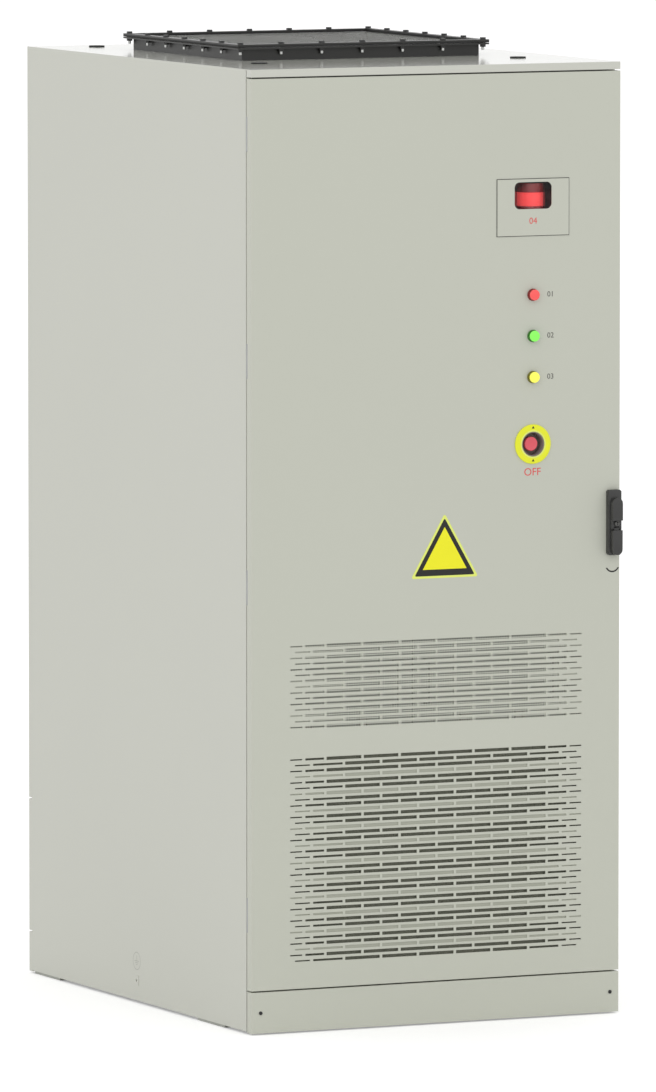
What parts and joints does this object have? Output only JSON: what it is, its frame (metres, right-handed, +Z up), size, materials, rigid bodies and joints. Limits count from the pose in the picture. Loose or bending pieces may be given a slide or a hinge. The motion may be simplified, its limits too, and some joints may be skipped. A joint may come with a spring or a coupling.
{
  "type": "battery cabinet",
  "caption": "Tall steel battery cabinet with a slotted hinged door, swing handle, signal lamps, recessed stop button and a flanged exhaust duct in the roof.",
  "frame": {"origin": "on the floor, in the middle of the four anchor holes in the base", "axes": "+X to the right seen from the front, +Y to the back, +Z up; the door faces -Y"},
  "size_m": [0.801, 1.1018, 1.921],
  "materials": {
    "painted_shell": "light warm grey powder coat, satin",
    "painted_frame": "grey powder coat, satin",
    "zinc_steel": "zinc plated sheet",
    "bright_steel": "bright plated",
    "black_coat": "black powder coat, satin",
    "black_rubber": "matt",
    "grey_foam": "closed cell foam",
    "screen_mesh": "fine wire mesh",
    "filter_mat": "coarse filter fleece",
    "dark_mesh": "fine dark mesh",
    "module_case": "dark grey case, satin",
    "black_plastic": "moulded",
    "grey_plastic": "moulded",
    "orange_plastic": "moulded",
    "copper": "bare copper, satin",
    "clear_pane": "clear",
    "red_lens": "translucent, glossy",
    "green_lens": "translucent, glossy",
    "yellow_lens": "translucent, glossy",
    "signal_yellow": "satin",
    "button_red": "glossy"
  },
  "bodies": {
    "cabinet": {"base_frame": "painted_frame", "corner_posts": "painted_frame", "top_frame": "painted_frame", "depth_rails": "zinc_steel", "floor_plate": "zinc_steel", "door_frame": "painted_frame", "side_panel_left": "painted_shell", "side_panel_right": "painted_shell", "rear_kick_plate": "painted_shell", "rear_cover": "painted_shell", "rear_panel": "painted_shell", "roof_panel": "painted_shell", "roof_plugs": "black_rubber", "front_kick_plate": "painted_shell", "duct_collar": "black_coat", "duct_screen": "screen_mesh", "duct_gasket": "black_rubber", "duct_flange": "black_coat", "duct_bolts": "bright_steel", "fan_plate": "painted_frame", "fan_motor": "black_coat", "rack_shelves": "zinc_steel", "battery_row_1": "module_case", "battery_row_2": "module_case", "battery_row_3": "module_case", "module_terminals": "orange_plastic", "gear_plate": "zinc_steel", "main_breaker": "grey_plastic", "contactors": "grey_plastic", "busbars": "copper", "controller": "grey_plastic", "power_supply": "zinc_steel", "terminal_row": "grey_plastic", "hinge_frame_halves": "zinc_steel"},
    "door": {"door_panel": "painted_shell", "door_stiffeners": "painted_frame", "door_seal": "grey_foam", "filter_frame": "painted_shell", "filter_mat": "filter_mat", "upper_mesh": "dark_mesh", "hinge_door_halves": "zinc_steel", "alarm_plate": "painted_shell", "alarm_window": "clear_pane", "beacon_case": "black_plastic", "beacon_dome": "red_lens", "lamp_red": "red_lens", "lamp_green": "green_lens", "lamp_yellow": "yellow_lens", "stop_plate": "signal_yellow", "stop_housing": "black_plastic", "handle_base": "black_coat"},
    "fan": {"fan_rotor": "black_plastic"},
    "toggle": {"breaker_toggle": "black_plastic"},
    "stop_stem": {"stop_stem": "zinc_steel"},
    "stop_button": {"stop_button": "button_red"},
    "handle_turn": {"handle_turn": "black_coat"},
    "handle_lever": {"handle_lever": "black_coat"},
    "lock_core": {"lock_core": "bright_steel"},
    "lock_rod_upper": {"lock_rod_upper": "zinc_steel"},
    "lock_rod_lower": {"lock_rod_lower": "zinc_steel"}
  },
  "joints": [
    {"name": "door_hinge", "type": "hinge", "parent": "cabinet", "child": "door", "pos_m": [-0.3975, -0.5693, 0.9], "axis": [0, 0, -1], "range_deg": [0, 100]},
    {"name": "handle_swing", "type": "hinge", "parent": "door", "child": "handle_turn", "pos_m": [0.3845, -0.6, 1.004], "axis": [0, 1, 0], "range_deg": [0, 90]},
    {"name": "handle_lift", "type": "hinge", "parent": "handle_turn", "child": "handle_lever", "pos_m": [0.3845, -0.6063, 0.965], "axis": [-1, 0, 0], "range_deg": [0, 45]},
    {"name": "lock_key", "type": "hinge", "parent": "handle_turn", "child": "lock_core", "pos_m": [0.3845, -0.611, 0.975], "axis": [0, 1, 0], "range_deg": [0, 90]},
    {"name": "upper_rod_slide", "type": "slide", "parent": "door", "child": "lock_rod_upper", "axis": [0, 0, -1], "range_m": [0, 0.01135]},
    {"name": "lower_rod_slide", "type": "slide", "parent": "door", "child": "lock_rod_lower", "axis": [0, 0, 1], "range_m": [0, 0.01135]},
    {"name": "stop_press", "type": "slide", "parent": "door", "child": "stop_stem", "axis": [0, 1, 0], "range_m": [0, 0.004], "stiffness_N_per_m": 200, "springref_m": -0.002},
    {"name": "stop_twist", "type": "hinge", "parent": "stop_stem", "child": "stop_button", "pos_m": [0.2085, -0.581, 1.137], "axis": [0, 1, 0], "range_deg": [0, 35]},
    {"name": "fan_spin", "type": "hinge", "parent": "cabinet", "child": "fan", "pos_m": [0, 0.016, 1.78], "axis": [0, 0, 1], "continuous": true},
    {"name": "breaker_throw", "type": "hinge", "parent": "cabinet", "child": "toggle", "pos_m": [-0.15, -0.316, 1.40063], "axis": [1, 0, 0], "range_deg": [-22, 22]}
  ],
  "couplings": [
    {"joint": "upper_rod_slide", "follows": "handle_swing", "m_per_rad": 0.0072025},
    {"joint": "lower_rod_slide", "follows": "handle_swing", "m_per_rad": 0.0072025}
  ]
}
